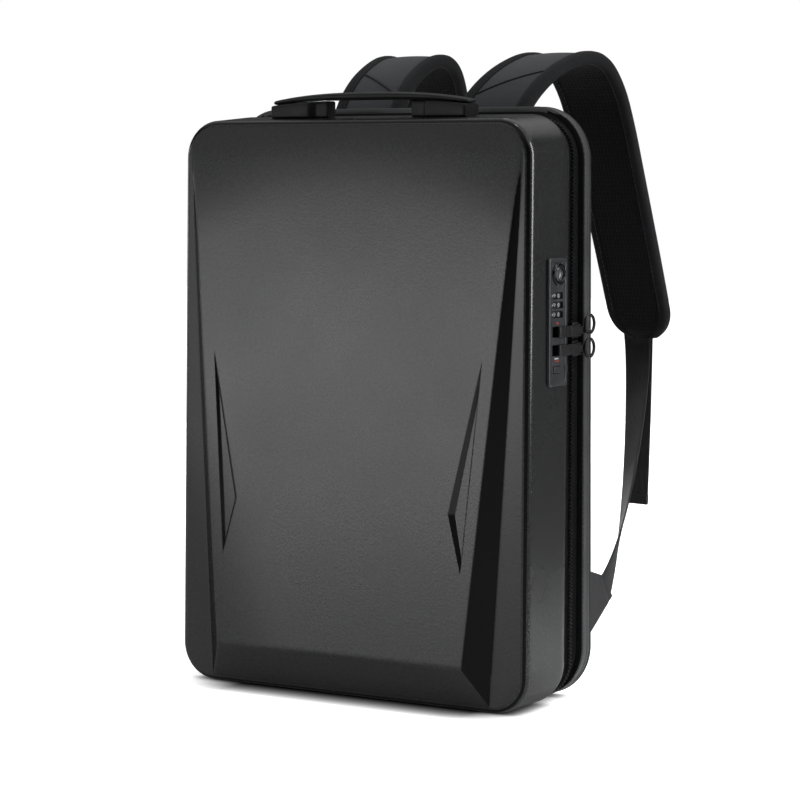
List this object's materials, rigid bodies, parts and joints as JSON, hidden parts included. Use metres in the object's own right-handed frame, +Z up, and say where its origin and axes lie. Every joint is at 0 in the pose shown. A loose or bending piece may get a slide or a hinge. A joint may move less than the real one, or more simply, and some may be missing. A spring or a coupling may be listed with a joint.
{
  "type": "hard-shell anti-theft laptop backpack",
  "caption": "Upright laptop backpack with a moulded hard front, zip held by a side combination lock, carry handle and padded shoulder straps",
  "frame": {"origin": "on the base plane that the bag stands on, under the front shell, in the middle of the width", "axes": "+Z up, +Y towards the wearer (the straps), -Y the moulded front, +X the side with the lock"},
  "size_m": [0.3438, 0.3353, 0.5226],
  "materials": {
    "shell": "fine pebble-grained black moulding, satin",
    "handle": "smooth black, satin",
    "lock": "bluish dark grey, satin",
    "dial": "black with white figures",
    "key_steel": "dark plated steel",
    "zip_tape": "black woven tape",
    "zip_teeth": "black nylon coil",
    "zip_metal": "black enamelled casting",
    "rim": "dark grey coated cloth",
    "back_mesh": "black air mesh over foam",
    "strap": "charcoal woven cloth, black mesh underneath",
    "webbing": "black ribbed webbing",
    "buckle": "black moulding, satin"
  },
  "bodies": {
    "case": {"front_shell": "shell", "handle_mount_left": "shell", "handle_mount_right": "shell", "handle_grip": "handle", "lock_plate": "lock", "zip_tape_front": "zip_tape", "zip_tape_rear": "zip_tape", "zip_coil": "zip_teeth", "zip_slider_upper": "zip_metal", "zip_slider_lower": "zip_metal", "zip_pull_upper": "zip_metal", "zip_pull_lower": "zip_metal", "pull_ring_upper": "zip_metal", "pull_ring_lower": "zip_metal", "back_rim": "rim", "back_panel": "back_mesh", "strap_left": "strap", "strap_right": "strap", "strap_webbing_left": "webbing", "strap_webbing_right": "webbing", "strap_tab_left": "webbing", "strap_tab_right": "webbing", "strap_adjuster_left": "buckle", "strap_adjuster_right": "buckle"},
    "dial_top": {"lock_dial_1": "dial"},
    "dial_middle": {"lock_dial_2": "dial"},
    "dial_bottom": {"lock_dial_3": "dial"},
    "key_plug": {"lock_cylinder": "key_steel"},
    "release_button": {"lock_button": "lock"}
  },
  "joints": [
    {"name": "dial_top_turn", "type": "hinge", "parent": "case", "child": "dial_top", "pos_m": [0.16244, -0.00974, 0.3262], "axis": [0, 0, 1], "continuous": true},
    {"name": "dial_middle_turn", "type": "hinge", "parent": "case", "child": "dial_middle", "pos_m": [0.16244, -0.00974, 0.3189], "axis": [0, 0, 1], "continuous": true},
    {"name": "dial_bottom_turn", "type": "hinge", "parent": "case", "child": "dial_bottom", "pos_m": [0.16244, -0.00974, 0.3115], "axis": [0, 0, 1], "continuous": true},
    {"name": "key_turn", "type": "hinge", "parent": "case", "child": "key_plug", "pos_m": [0.16746, -0.0095, 0.343], "axis": [0.9986, -0.053, 0], "range_deg": [0, 90]},
    {"name": "button_press", "type": "slide", "parent": "case", "child": "release_button", "axis": [-0.9986, 0.053, 0], "range_m": [0, 0.0015], "stiffness_N_per_m": 600}
  ]
}
